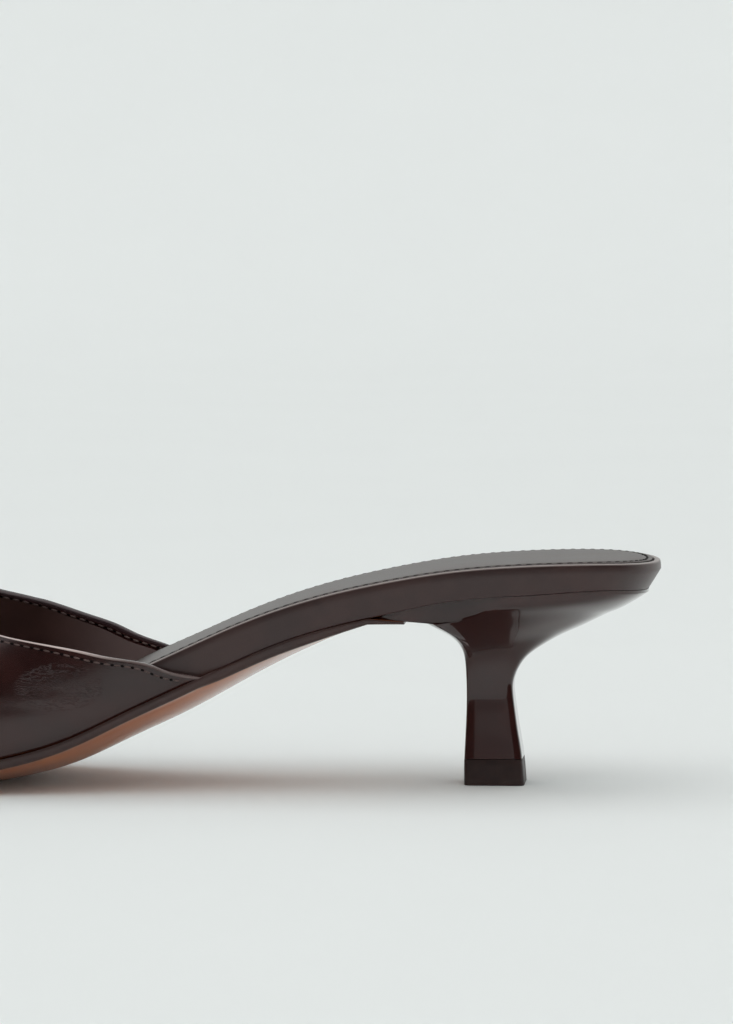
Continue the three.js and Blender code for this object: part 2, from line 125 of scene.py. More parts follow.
class Finish:
    """A material whose main shader is Principled."""

    def __init__(self, name, **fixed):
        self.material = bpy.data.materials.new(name)
        self.material.use_nodes = True
        self.tree = self.material.node_tree
        self.shader = self.tree.nodes["Principled BSDF"]
        for socket, value in fixed.items():
            self.shader.inputs[socket_name(socket)].default_value = value
        place = self.add("ShaderNodeTexCoord", output="Object")
        self.place = self.add("ShaderNodeMapping", {"Vector": place, "Scale": [1 / MM] * 3})

    def add(self, kind, inputs=None, output=0, **settings):
        node = self.tree.nodes.new(kind)
        for setting, value in settings.items():
            setattr(node, setting, value)
        for socket, value in (inputs or {}).items():
            if isinstance(value, Value):
                self.tree.links.new(value.socket, node.inputs[socket])
            else:
                node.inputs[socket].default_value = value
        return Value(self, node.outputs[output])

    def along(self, axis):
        """The place along one axis, in millimetres."""
        return self.add("ShaderNodeSeparateXYZ", {0: self.place}, axis)

    def noise(self, scale, detail=2, roughness=0.5, stretch=(1, 1, 1)):
        vector = self.place
        if stretch != (1, 1, 1):
            vector = self.add("ShaderNodeMapping", {"Vector": vector, "Scale": stretch})
        inputs = {"Vector": vector, "Scale": scale, "Detail": detail, "Roughness": roughness}
        return self.add("ShaderNodeTexNoise", inputs)

    def cells(self, scale, feature="F1"):
        inputs = {"Vector": self.place, "Scale": scale}
        return self.add("ShaderNodeTexVoronoi", inputs, "Distance", feature=feature)

    def layer(self, name):
        """A value that the mesh's own points carry."""
        return self.add("ShaderNodeAttribute", output="Fac", attribute_name=name)

    def blend(self, share, first, second):
        """Colours go through a Mix node, because a Math node would turn them grey."""
        inputs = {0: share, 6: first, 7: second}
        return self.add("ShaderNodeMix", inputs, 2, data_type="RGBA")

    def bump(self, height, distance, strength=1, under=None):
        """height runs from 0 to 1 and stands for distance in millimetres."""
        inputs = {"Height": height, "Distance": distance * MM, "Strength": strength}
        if under:
            inputs["Normal"] = under
        return self.add("ShaderNodeBump", inputs)

    def wear(self, **links):
        """Links values to the shader's sockets and returns the finished material."""
        for socket, value in links.items():
            self.tree.links.new(value.socket, self.shader.inputs[socket_name(socket)])
        return self.material


def shade(red, green, blue):
    """A colour as a screen shows it, 0 to 255, turned into the light values of a shader."""
    def light(value):
        share = value / 255
        return share / 12.92 if share <= 0.04045 else ((share + 0.055) / 1.055) ** 2.4

    return (light(red), light(green), light(blue), 1)


print("a mid grey as light:", [round(c, 3) for c in shade(128, 128, 128)])

# %% [markdown]
# A shoe's pieces all follow its last, so their shapes come from a few shared sizes and curves,
# the same ones that the solids were made from. Stations are shares of the shoe's length, from 0
# at the back of the footbed to 1 at the tip of the toe. All lengths here are in millimetres.

# %% Sizes of the shoe
LENGTH = 248
REAR_TO_HEEL = 39
HEEL_HEIGHT = 47.6
BALL_EDGE_HEIGHT = 6.4
TOE_SPRING = 6.5
SEAT_WIDTH = 50
WAIST_WIDTH = 46.5
BALL_WIDTH = 72
TOE_WIDTH = 51
GAP = 0.3
FOOTBED_THICKNESS = 8
REAR_ROUND = 25
REAR_POWER = 2.35
TOE_ROUND = 34
SOLE_CROWN = 5.4
OUTER = 1
INNER = -1

print(f"{LENGTH} mm long, {BALL_WIDTH} mm wide at the ball, seat {HEEL_HEIGHT} mm up")

# %% [markdown]
# Each row of a table holds values that were chosen at one station. `smooth` joins them with a
# natural cubic spline, which bends as a draughtsman's batten would between its weights. A Blender
# curve object could hold the same line, but a plain function can be asked for its height at any
# station, as every piece below has to.

# %% A bent batten
def smooth(rows, column):
    """A curve through one column of a table, as a function of the table's first column."""
    n = len(rows)
    x = [row[0] for row in rows]
    y = [row[column] for row in rows]
    bend = [0.0] * n
    share = [0.0] * n
    for i in range(1, n - 1):
        back = x[i] - x[i - 1]
        span = x[i + 1] - x[i - 1]
        pivot = back / span * bend[i - 1] + 2
        bend[i] = (back / span - 1) / pivot
        turn = (y[i + 1] - y[i]) / (x[i + 1] - x[i]) - (y[i] - y[i - 1]) / back
        share[i] = (6 * turn / span - back / span * share[i - 1]) / pivot
    for i in range(n - 2, -1, -1):
        bend[i] = bend[i] * bend[i + 1] + share[i]

    def curve(at):
        t = min(max(at, x[0]), x[-1])
        i = 1
        while i < n - 1 and t > x[i]:
            i += 1
        step = x[i] - x[i - 1]
        a = (x[i] - t) / step
        b = 1 - a
        rest = (a ** 3 - a) * bend[i - 1] + (b ** 3 - b) * bend[i]
        return a * y[i - 1] + b * y[i] + rest * step * step / 6

    return curve


batten = smooth([(0, 0), (1, 1), (2, 0)], 1)
print("a batten over one raised weight:", [round(batten(n / 4), 2) for n in range(9)])

# %% [markdown]
# The plan is the footprint seen from above, and the side table gives its heights. A left shoe
# swells outwards at the little toe and is straighter along its inner side, so the two edges have
# a column each. Both tables hold shares of the named sizes.

# %% Plan and side
PLAN = [
    # station, width, outer edge, inner edge
    (0.0, SEAT_WIDTH, 0.48, 0.5),
    (0.08, SEAT_WIDTH, 0.495, 0.5),
    (0.16, SEAT_WIDTH, 0.505, 0.505),
    (0.24, SEAT_WIDTH, 0.505, 0.485),
    (0.32, WAIST_WIDTH, 0.55, 0.475),
    (0.4, WAIST_WIDTH, 0.575, 0.445),
    (0.45, WAIST_WIDTH, 0.61, 0.46),
    (0.5, WAIST_WIDTH, 0.665, 0.52),
    (0.56, BALL_WIDTH, 0.47, 0.4),
    (0.62, BALL_WIDTH, 0.5, 0.455),
    (0.68, BALL_WIDTH, 0.505, 0.49),
    (0.74, BALL_WIDTH, 0.475, 0.497),
    (0.8, BALL_WIDTH, 0.43, 0.48),
    (0.86, TOE_WIDTH, 0.53, 0.62),
    (0.9, TOE_WIDTH, 0.47, 0.585),
    (0.95, TOE_WIDTH, 0.38, 0.53),
    (1.0, TOE_WIDTH, 0.28, 0.47),
]
EDGES = [(station, width * outer, width * inner) for station, width, outer, inner in PLAN]
outer_edge = smooth(EDGES, 1)
inner_edge = smooth(EDGES, 2)

SIDE = [
    # station, rise from ball to seat, toe spring, footbed thickness, sole crown
    (0.0, 0.966, 0, 0.87, 0),
    (0.05, 0.995, 0, 0.79, 0),
    (0.1, 0.98, 0, 0.855, 0),
    (0.15, 0.961, 0, 0.875, 0),
    (0.2, 0.93, 0, 0.88, 0),
    (0.25, 0.866, 0, 0.95, 0),
    (0.3, 0.7985, 0, 0.965, 0.18),
    (0.35, 0.711, 0, 0.975, 0.5),
    (0.4, 0.587, 0, 1.03, 0.78),
    (0.45, 0.4466, 0, 1.055, 0.97),
    (0.5, 0.308, 0, 1.05, 1.0),
    (0.55, 0.166, 0, 1.0, 1.0),
    (0.6, 0.0716, 0, 0.92, 0.96),
    (0.65, 0.017, 0, 0.83, 0.91),
    (0.7, 0, 0.0, 0.76, 0.86),
    (0.75, 0, 0.02, 0.71, 0.82),
    (0.8, 0, 0.09, 0.675, 0.76),
    (0.85, 0, 0.22, 0.645, 0.6),
    (0.9, 0, 0.42, 0.62, 0.45),
    (0.95, 0, 0.68, 0.6, 0.24),
    (1.0, 0, 1.0, 0.59, 0),
]
rise_share = smooth(SIDE, 1)
spring_share = smooth(SIDE, 2)
thickness_share = smooth(SIDE, 3)
crown_share = smooth(SIDE, 4)
print("outer and inner edge at the ball:", round(outer_edge(0.68), 1), round(inner_edge(0.68), 1))

# %% [markdown]
# A few questions are asked of these curves again and again: how high the footbed's lower and
# upper edges are at a station, where the plan's edge runs when it is moved inwards, and how high
# the crowned underside is at a place. `lru_cache` remembers the answers, because neighbouring
# points of a mesh ask for the same ones.

# %% Edges of the footbed
DRAFT = 0.9  # how far the footbed's underside lies inside its top edge
REAR_DRAFT = 1.8  # and how much more at the very back


def mix(a, b, share):
    return a + (b - a) * share


def soft_step(value, start, end):
    """0 below start, 1 above end, and a soft step between."""
    share = min(max((value - start) / (end - start), 0), 1)
    return share * share * (3 - 2 * share)


def station_at(x):
    return (x + REAR_TO_HEEL) / LENGTH


def x_at(station):
    return station * LENGTH - REAR_TO_HEEL


@lru_cache(None)
def lower_edge(station):
    rise = rise_share(station) * (HEEL_HEIGHT - BALL_EDGE_HEIGHT)
    return BALL_EDGE_HEIGHT + rise + spring_share(station) * TOE_SPRING


@lru_cache(None)
def upper_edge(station):
    return lower_edge(station) + thickness_share(station) * FOOTBED_THICKNESS


def closing(station):
    """The plan closes at both ends over a rounded length."""
    def end(distance, length, power):
        left = max(0, 1 - distance / length)
        return (1 - left ** power) ** (1 / power)

    back = end(station * LENGTH, REAR_ROUND, REAR_POWER)
    return back * end((1 - station) * LENGTH, TOE_ROUND, 2)


@lru_cache(None)
def middle_and_half(station):
    outer, inner = outer_edge(station), inner_edge(station)
    return (outer - inner) / 2, (outer + inner) / 2


@lru_cache(None)
def plan_point(station, side):
    middle, half = middle_and_half(station)
    return Vector((x_at(station), middle + side * half * closing(station)))


@lru_cache(None)
def inset_point(station, side, inset):
    """A point of the plan's edge moved inwards by inset, square to the edge."""
    step = 1e-4
    before = plan_point(max(0, station - step), side)
    along = plan_point(min(1, station + step), side) - before
    if station <= 0:
        along = Vector((0, side))
    if station >= 1:
        along = Vector((0, -side))
    along.normalize()
    return plan_point(station, side) + Vector((along.y, -along.x)) * side * inset


def outness(x, y):
    """0 at the middle of the plan and 1 at its edge."""
    middle, half = middle_and_half(station_at(x))
    return min(1, abs(y - middle) / half)


def underside(x, y):
    """The underside of the footbed: its lower edge with the sole's crown across it."""
    station = station_at(x)
    crown = max(0, crown_share(station)) * SOLE_CROWN
    return lower_edge(station) - crown * (1 - outness(x, y) ** 2)


def draft(station):
    rear = max(0, 1 - station * LENGTH / REAR_ROUND)
    return DRAFT + REAR_DRAFT * rear ** 2


print("edge heights at seat, waist, ball and toe:",
      [round(lower_edge(s), 1) for s in (0.05, 0.4, 0.7, 1.0)])

# %% [markdown]
# Two kinds of sheet make nearly all of the shoe. A plan sheet is a grid whose corners are
# rounded off until it fills the footprint, so that it has no pole at the heel or the toe. A
# rolled sheet is a grid whose two long borders meet, like a tube. Both start as
# `bmesh.ops.create_grid`, and each corner point of the grid is then moved to its place on the
# shoe. Layers on the points remember where they lie, for the materials.

# %% Mesh helpers
SHARP = 48  # edges bent by more degrees than this stay crisp


def grid(rows, columns):
    """A grid whose points run from -1 to 1 in both directions."""
    mesh = bmesh.new()
    bmesh.ops.create_grid(mesh, x_segments=rows, y_segments=columns, size=1)
    return mesh


def border(mesh):
    return [edge for edge in mesh.edges if edge.is_boundary]


def mesh_data(mesh, name, finishes=()):
    """Hands a bmesh over to Blender as a mesh that wears these finishes."""
    data = bpy.data.meshes.new(name)
    mesh.to_mesh(data)
    mesh.free()
    for finish in finishes:
        data.materials.append(finish)
    return data


def finish_piece(mesh, name, finishes, subdivision=0):
    """Turns a bmesh in millimetres into a piece of the shoe, in metres."""
    bmesh.ops.remove_doubles(mesh, verts=mesh.verts, dist=1e-3)
    bmesh.ops.dissolve_degenerate(mesh, edges=mesh.edges, dist=1e-4)
    bmesh.ops.recalc_face_normals(mesh, faces=mesh.faces)
    bmesh.ops.scale(mesh, vec=(MM, MM, MM), verts=mesh.verts)
    open_edges = len(border(mesh))
    data = mesh_data(mesh, name, finishes)
    data.shade_smooth()
    data.set_sharp_from_angle(angle=math.radians(SHARP))
    piece = place_object(name, data)
    if subdivision:
        smoothing = piece.modifiers.new("smoothing", "SUBSURF")
        smoothing.levels = smoothing.render_levels = subdivision
    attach(piece, "root")
    print(f"{name}: {len(data.polygons)} faces, {open_edges} open edges")
    return piece


print("edges stay crisp over", SHARP, "degrees")

# %% [markdown]
# Plan sheets make the footbed, the sock and the outsole. The grid is a square from -1 to 1;
# `round_corners` turns it into a disc, or into half a disc where one end is cut straight. Each
# point's place along the disc gives its station, and its place between the disc's two sides
# gives how far across it lies. A ring of points filled like a fan would be quicker to make, but
# its faces would all meet in one spot, where the gloss would pinch.

# %% Plan sheets
def round_corners(u, v, round_back):
    """Returns the point's place along the sheet, -1 to 1, and its share across, -1 to 1."""
    rounded = round_back or u > 0
    if not rounded:
        return u, v
    along = u * math.sqrt(1 - v * v / 2)
    across = v * math.sqrt(1 - u * u / 2)
    chord = math.sqrt(max(0, 1 - along * along))
    return along, max(-1, min(1, across / chord)) if chord > 1e-6 else 0


def plan_sheet(rows, columns, start=0.0, end=1.0, round_back=True):
    """A flat sheet whose points know their station and their share across."""
    mesh = grid(rows, columns)
    station = mesh.verts.layers.float.new("station")
    across = mesh.verts.layers.float.new("across")
    for point in mesh.verts:
        along, point[across] = round_corners(point.co.x, point.co.y, round_back)
        point[station] = mix(start, end, (along + 1) / 2)
    return mesh


def lay(mesh, points, inset, height):
    """Moves points to the plan, moved in by inset(station), at height(x, y)."""
    station = mesh.verts.layers.float["station"]
    across = mesh.verts.layers.float["across"]
    for point in points:
        at = min(1, max(0, point[station]))
        inwards = round(inset(at), 5)
        outer = inset_point(at, OUTER, inwards)
        inner = inset_point(at, INNER, inwards)
        flat = inner.lerp(outer, (point[across] + 1) / 2)
        point.co = (flat.x, flat.y, height(flat.x, flat.y))


def plate(sheet, profile, edge_slot=0, under_slot=0):
    """Closes a plan sheet into a plate. profile rows are (inset(station), height(x, y)), from
    the top face's border, down its edge, to the border of its underside."""
    lay(sheet, sheet.verts, *profile[0])
    top = list(sheet.faces)
    under = bmesh.ops.duplicate(sheet, geom=top)["geom"]
    under_points = [part for part in under if isinstance(part, bmesh.types.BMVert)]
    under_faces = [part for part in under if isinstance(part, bmesh.types.BMFace)]
    for face in under_faces:
        face.material_index = under_slot
    lay(sheet, under_points, *profile[-1])
    kept = set(under_faces)
    rim = [edge for edge in border(sheet) if not kept.intersection(edge.link_faces)]
    for row in profile[1:]:
        grown = bmesh.ops.extrude_edge_only(sheet, edges=rim)["geom"]
        rim = [part for part in grown if isinstance(part, bmesh.types.BMEdge)
               and part.is_boundary]
        points = {point for edge in rim for point in edge.verts}
        lay(sheet, points, *row)
        for face in {face for edge in rim for face in edge.link_faces}:
            face.material_index = edge_slot
    return sheet


def fixed(value):
    """An inset that is the same at every station."""
    return lambda station: value


def top_at(drop):
    """A height that lies a drop below the footbed's upper edge."""
    return lambda x, y: upper_edge(station_at(x)) - drop


print("a corner of the square moves to", [round(c, 2) for c in round_corners(1, 1, True)])

# %% [markdown]
# The footbed is a board and foam wrapped in one leather cover, which shows as the rim's side
# band, with a rounded top edge and a narrow bare rim round the sock. A bevel on a thick slab could
# round that edge, but the slab leans inwards and thins along the shoe. So its profile is a list
# of rows, each an inset and a height, and the sheet's border is pulled down through them.

# %% Footbed
SOCK_RIM = 1.5
SOCK_RECESS = 1.0

TOP_EDGE = [
    # inset, drop below the upper edge: from the wall of the sock's recess, over the rounded edge
    (SOCK_RIM + 0.15, SOCK_RECESS), (SOCK_RIM + 0.02, 0.12), (SOCK_RIM - 0.12, 0.02),
    (0.8, 0), (0.55, 0.03), (0.36, 0.1), (0.22, 0.22), (0.13, 0.4), (0.075, 0.65), (0.035, 1),
    (0.01, 1.5),
]
SIDE_SHARES = (0, 0.15, 0.35, 0.6, 0.85, 0.96, 1)  # down the side band
SIDE_START = 2  # mm under the upper edge
SIDE_END = 0.2  # mm over the underside
RIM_HIGHLIGHT_DROP = (0.1, 0.3)  # the painted highlight strip fades out over these drops


def side_row(share):
    def height(x, y):
        return mix(top_at(SIDE_START)(x, y), underside(x, y) + SIDE_END, share)
    return lambda station: draft(station) * share, height


footbed_profile = [(fixed(inset), top_at(drop)) for inset, drop in TOP_EDGE]
footbed_profile += [side_row(share) for share in SIDE_SHARES]
footbed_profile += [(lambda station: draft(station) + 0.1, lambda x, y: underside(x, y) + 0.06),
                    (lambda station: draft(station) + 0.4, underside)]

footbed_mesh = plate(plan_sheet(96, 24), footbed_profile)
# rim is 1 along the cover's top edge, where the cover's finish paints a highlight.
rim = footbed_mesh.verts.layers.float.new("rim")
for point in footbed_mesh.verts:
    drop = upper_edge(station_at(point.co.x)) - point.co.z
    point[rim] = 1 - soft_step(drop, *RIM_HIGHLIGHT_DROP)
print("footbed:", len(footbed_mesh.faces), "faces from", len(footbed_profile), "rows")

# %% [markdown]
# The sock is the padded leather that the foot stands on. It is let into the rim, stands proud
# of it by less than a millimetre, is crowned a little by its foam, and is held by one row of
# stitches that dents it. A sheet this thin and glued down all over has nothing left to
# simulate, so its swell and its dent are given.

# %% Sock
SOCK_EDGE = SOCK_RIM + 0.5
SOCK_STITCH = 3.3
SOCK_SWELL = 0.33
SOCK_LIFT = 0.05
SOCK_ROWS = [
    # inset, lift: past the dent of the stitches, over the puffed border and down its cut edge
    (SOCK_STITCH + 1.6, 0), (SOCK_STITCH + 0.9, -0.04), (SOCK_STITCH + 0.35, -0.26),
    (SOCK_STITCH, -0.38), (SOCK_STITCH - 0.35, -0.26), (SOCK_STITCH - 0.75, -0.1),
    (SOCK_EDGE + 0.2, -0.16), (SOCK_EDGE + 0.05, -0.3), (SOCK_EDGE, -0.5), (SOCK_EDGE, -0.75),
]
STEEP = 0.6  # faces whose normal rises less than this belong to the cut edge


def sock_height(x, y):
    """The sock's top: the footbed's upper edge, and a swell that is highest in the middle."""
    return upper_edge(station_at(x)) + SOCK_LIFT + SOCK_SWELL * (1 - outness(x, y) ** 6)


def lifted_sock(lift):
    return lambda x, y: sock_height(x, y) + lift


sock_mesh = plate(plan_sheet(110, 40),
                  [(fixed(inset), lifted_sock(lift)) for inset, lift in SOCK_ROWS])
sock_mesh.normal_update()
# The cut edge wears the near-black thread finish: painted shade of the gap between sock and rim.
for face in sock_mesh.faces:
    face.material_index = 1 if face.normal.z < STEEP else 0
print("sock:", sum(face.material_index for face in sock_mesh.faces), "faces in its cut edge")

# %% [markdown]
# The outsole is a thin leather sole. Seen from the side only its edge shows, painted dark, with
# a narrow ledge past the upper; its polished tan underside shows under the waist, where it
# thins and slips under the heel's lip. Its back edge is cut straight, so this sheet keeps the
# square corners at that end.

# %% Outsole
OUTSOLE_BREAST = 59
OUTSOLE_THICKNESS = 2.2
OUTSOLE_BREAST_THICKNESS = 0.35
OUTSOLE_MARGIN = 0.5
OUTSOLE_LEDGE = 0.7
UPPER_WALL = 1.8
WING_START = 107
MOUTH_SIDE = 216
HEEL_LIP = 67.6
LIP_SLOPE = 0.3  # how fast the heel's lip thickens towards the back
GLUE = 0.05
LEDGE_GROWS = (-8, 4)  # mm past the start of the wings
LEDGE_ENDS = (-2, 10)  # mm past the side of the open toe
SOLE_THICKENS = (-8, 26)  # mm past the outsole's back edge
SOLE_EDGE = [
    # inset, share of the thickness: a crisp upper corner and a well rounded lower one
    (0.5, 0), (0.2, 0.01), (0.06, 0.05), (0, 0.12), (0, 0.28), (0.02, 0.42), (0.07, 0.55),
    (0.16, 0.68), (0.3, 0.8), (0.48, 0.89), (0.7, 0.95), (0.95, 0.99), (1.3, 1),
]


def outsole_outset(station):
    at = station * LENGTH
    wings = soft_step(at - WING_START, *LEDGE_GROWS)
    covered = wings * (1 - soft_step(at - MOUTH_SIDE, *LEDGE_ENDS))
    return OUTSOLE_MARGIN + covered * (GAP + UPPER_WALL + OUTSOLE_LEDGE - OUTSOLE_MARGIN)


def lip_thickness(x):
    return LIP_SLOPE * max(0, HEEL_LIP - REAR_TO_HEEL - x)


def outsole_top(x, y):
    return underside(x, y) - GLUE - lip_thickness(x)


def outsole_height(share):
    def height(x, y):
        ahead = soft_step(x + REAR_TO_HEEL - OUTSOLE_BREAST, *SOLE_THICKENS)
        full = OUTSOLE_THICKNESS + GAP - GLUE
        thickness = mix(OUTSOLE_BREAST_THICKNESS, full, ahead)
        bottom = max(0, outsole_top(x, y) - thickness)
        return mix(outsole_top(x, y), bottom, share)
    return height


def outsole_inset(extra):
    return lambda station: draft(station) - outsole_outset(station) + extra


outsole_profile = [(outsole_inset(extra), outsole_height(share)) for extra, share in SOLE_EDGE]
outsole_mesh = plate(plan_sheet(110, 34, OUTSOLE_BREAST / LENGTH, 1, round_back=False),
                     outsole_profile, edge_slot=1)
print("outsole: its ledge stands out", round(outsole_outset(0.6), 2), "mm under the vamp")

# %% [markdown]
# The upper is one broad vamp of leather and lining, pulled over the last, the wooden foot that a
# shoe is made on. A cross section of the last runs from the outer side's lower edge, turn 0, over
# the ridge of the instep, 90, to the inner side's lower edge, 180. It is a formula and not a
# sculpted form, so that the vamp, its lining and its stitches can all ask it for a place.

# %% Shape of the last
VAMP_HEIGHT = 44
VAMP_POWER = 2.25
VAMP_BULGE = 1.3
FEATHER_TUCK = 0.85  # how far the wall draws in where it meets the sole
FEATHER_RISE = 0.075  # the share of the rise over which it does
FEATHER_GAP = 0.12  # how far the wall ends over the sole
THROAT = 173
MOUTH_MIDDLE = 207

INSTEP = [
    # station, ridge's height over the lower edge, ridge's place across
    (0.42, 1.62, -0.02),
    (0.5, 1.47, -0.04),
    (0.56, 1.31, -0.06),
    (0.62, 1.16, -0.075),
    (0.68, 1.03, -0.085),
    (0.74, 0.92, -0.095),
    (0.8, 0.81, -0.105),
    (0.86, 0.7, -0.115),
    (0.92, 0.6, -0.12),
]
ridge_height = smooth(INSTEP, 1)
ridge_across = smooth(INSTEP, 2)

TOPLINE = [
    # turn in degrees, way from the wings to the throat on the outer and the inner side
    (0, 0, 0),
    (1, 0.035, 0.04),
    (2, 0.075, 0.085),
    (5, 0.155, 0.175),
    (10, 0.285, 0.29),
    (16, 0.41, 0.39),
    (23, 0.553, 0.505),
    (30, 0.69, 0.612),
    (38, 0.8, 0.73),
    (46, 0.875, 0.84),
    (58, 0.945, 0.93),
    (72, 0.985, 0.98),
    (90, 1, 1),
]
topline_outer = smooth(TOPLINE, 1)
topline_inner = smooth(TOPLINE, 2)


@lru_cache(None)
def last_point(station, turn):
    side = OUTER if turn <= 90 else INNER
    angle = math.radians(turn)
    reach = abs(math.cos(angle)) ** (2 / VAMP_POWER)
    rise = max(0, math.sin(angle)) ** (2 / VAMP_POWER)
    foot = inset_point(station, side, -GAP)
    tuck = FEATHER_TUCK * max(0, 1 - rise / FEATHER_RISE) ** 2
    swell = side * VAMP_BULGE * math.sin(math.pi * min(1, rise / 0.6))
    return Vector((
        mix(x_at(station), foot.x, reach),
        mix(ridge_across(station) * BALL_WIDTH, foot.y, reach) + swell - side * tuck,
        lower_edge(station) + ridge_height(station) * VAMP_HEIGHT * rise,
    ))


def wall_normal(station, turn):
    """The direction out of the wall, from two short steps over it."""
    tilt = 0.6
    low, high = max(0.01, turn - tilt), min(179.99, turn + tilt)
    along = last_point(station + 0.002, turn) - last_point(station - 0.002, turn)
    over = last_point(station, high) - last_point(station, low)
    return over.cross(along).normalized()


def wall_point(station, turn, out):
    """A point of the last moved out through the wall."""
    point = last_point(station, turn) + wall_normal(station, turn) * out
    if turn <= 0 or turn >= 180:
        point.z = last_point(station, turn).z + FEATHER_GAP
    return point


@lru_cache(None)
def wall_ends(turn):
    """The stations of the topline and of the open toe's edge."""
    from_side = turn if turn <= 90 else 180 - turn
    way = (topline_outer if turn <= 90 else topline_inner)(from_side)
    back = (WING_START + (THROAT - WING_START) * way) / LENGTH
    bow = math.sin(math.radians(turn)) ** 1.5
    front = (MOUTH_SIDE + (MOUTH_MIDDLE - MOUTH_SIDE) * bow) / LENGTH
    return back, front


print("topline from the wing to the throat:",
      [[round(c) for c in last_point(wall_ends(turn)[0], turn)] for turn in (0, 20, 50, 90)])

# %% [markdown]
# The vamp itself is a rolled sheet: every section runs up its outer face from the toe's edge to
# the topline, rolls over the folded edge and comes back down the lining. A flat sheet with a
# Solidify modifier would give the thickness too, but with square edges where a real one is turned
# under. The foot has bent the leather at the ball, so soft troughs are pressed into the side.

# %% Upper
TURNS = 180
FACE_ROWS = [0, 0.012, 0.024, 0.036, 0.05] + [0.05 + 0.9 * n / 46 for n in range(1, 46)] + [
    0.95, 0.964, 0.976, 0.988, 1]
ROLL_STEPS = 6
ROLL_REACH = 0.5  # how far the folded edges round out
LINING_INSET = 1.2  # how far inside the edges the lining starts


def upper_section():
    """Steps round a section: (share from the toe's edge to the topline, place through the
    wall from 0 inside to 1 outside, how far past the edge in millimetres)."""
    steps = [(share, 1, 0) for share in FACE_ROWS]
    roll = []
    for n in range(1, ROLL_STEPS):
        angle = math.pi * n / ROLL_STEPS
        roll.append((math.cos(angle), math.sin(angle)))
    steps += [(1, (c + 1) / 2, ROLL_REACH * s) for c, s in roll]
    steps += [(share, 0, 0) for share in reversed(FACE_ROWS)]
    steps += [(0, (1 - c) / 2, -ROLL_REACH * s) for c, s in roll]
    return steps + steps[:1]


FOLDS = [
    # where a soft trough lies on the outer side (x, z), its half length and half width, depth
    (103, 24.5, 7, 1.3, 0.09),
    (106, 20.5, 9, 1.5, 0.1),
    (101, 17, 6, 1.2, 0.08),
    (111, 14.5, 7, 1.4, 0.07),
]


def fold_depth(place):
    """How deep the leather's folds are at a place of the last."""
    if place.y < 0:
        return 0
    return sum(depth * math.exp(-((place.x - x) / length) ** 2 - ((place.z - z) / width) ** 2)
               for x, z, length, width, depth in FOLDS)


SECTION = upper_section()
upper_mesh = grid(TURNS, len(SECTION) - 1)
trim = upper_mesh.verts.layers.float.new("trim")
inside = upper_mesh.verts.layers.float.new("inside")
for point in upper_mesh.verts:
    turn = round(90 - 90 * point.co.x, 4)
    step = round((point.co.y + 1) / 2 * (len(SECTION) - 1))
    share, through, past = SECTION[step]
    back, front = wall_ends(turn)
    length = (front - back) * LENGTH
    station = front + (back - front) * share - past / LENGTH
    point[trim] = min(share, 1 - share) * length
    point[inside] = 1 - through
    place = last_point(station, turn)
    point.co = wall_point(station, turn, through * (UPPER_WALL - fold_depth(place)))
bmesh.ops.remove_doubles(upper_mesh, verts=upper_mesh.verts, dist=1e-3)
crease = upper_mesh.edges.layers.float.new("crease_edge")
for edge in border(upper_mesh):
    edge[crease] = 1
bmesh.ops.holes_fill(upper_mesh, edges=border(upper_mesh), sides=0)
for face in upper_mesh.faces:
    lined = [point[inside] > 0.99 and point[trim] > LINING_INSET for point in face.verts]
    face.material_index = 1 if all(lined) else 0
print("vamp:", len(upper_mesh.faces), "faces, from", TURNS, "sections of", len(SECTION), "steps")

# %% [markdown]
# The heel is a moulded block with a lacquered finish: a slim stem with crisp corners that flares
# into a cup under the seat and runs forward as a thin lip over the outsole. Its sections are
# rings, so it is a rolled sheet: each row of the grid is one ring, from the joint with the top
# piece up to the seat. The stem's rings are rounded squares between a front and a back line.

# %% Stem of the heel
HEEL_FOOT = 14
TOP_PIECE_HEIGHT = 6.3

STEM = [
    # level as a share of the heel's height, front and back of the foot's length, width
    (0.0, 0.507, 0.51, 1.0),
    (0.132, 0.508, 0.475, 0.95),
    (0.2, 0.498, 0.443, 0.915),
    (0.265, 0.488, 0.404, 0.88),
    (0.363, 0.475, 0.354, 0.82),
    (0.46, 0.472, 0.315, 0.785),
    (0.515, 0.476, 0.32, 0.785),
    (0.563, 0.483, 0.371, 0.8),
]
stem_front = smooth(STEM, 1)
stem_back = smooth(STEM, 2)
stem_width = smooth(STEM, 3)
STEM_TOP = STEM[-1][0] * HEEL_HEIGHT
STEM_SQUARENESS = 14
CUP_SQUARENESS = 5
CORNERS_SOFTEN = 0.4  # from this level up, the back corners soften to the cup's


def rounded_square(angle, back_power, front_power=STEM_SQUARENESS):
    """A point of a square from -1 to 1 with rounded corners; power 2 makes a circle."""
    c, s = math.cos(angle), -math.sin(angle)
    power = front_power if c > 0 else back_power
    reach = (abs(c) ** power + abs(s) ** power) ** (-1 / power)
    return c * reach, s * reach


def stem_point(z, angle, inset=0.0):
    level = z / HEEL_HEIGHT
    front = stem_front(level) * HEEL_FOOT - inset
    back = -stem_back(level) * HEEL_FOOT + inset
    half = stem_width(level) * HEEL_FOOT / 2 - inset
    softened = soft_step(z, CORNERS_SOFTEN * HEEL_HEIGHT, STEM_TOP)
    along, across = rounded_square(angle, mix(STEM_SQUARENESS, CUP_SQUARENESS, softened))
    return Vector((mix(back, front, (along + 1) / 2), half * across, z))


print("stem's front and back lines half way up:",
      [round(stem_point(STEM_TOP / 2, angle).x, 1) for angle in (0, math.pi)])

# %% [markdown]
# The cup grows out of the stem's last ring. Each of its rows is a mix of that ring and of the
# seat's outline, and the table says how far the front, the back and the sides have grown and
# risen at each row. Modelling it with a loft of only two rings would give a straight funnel: the
# real one is hollow behind, flat at its sides, and reaches forward as a lip.

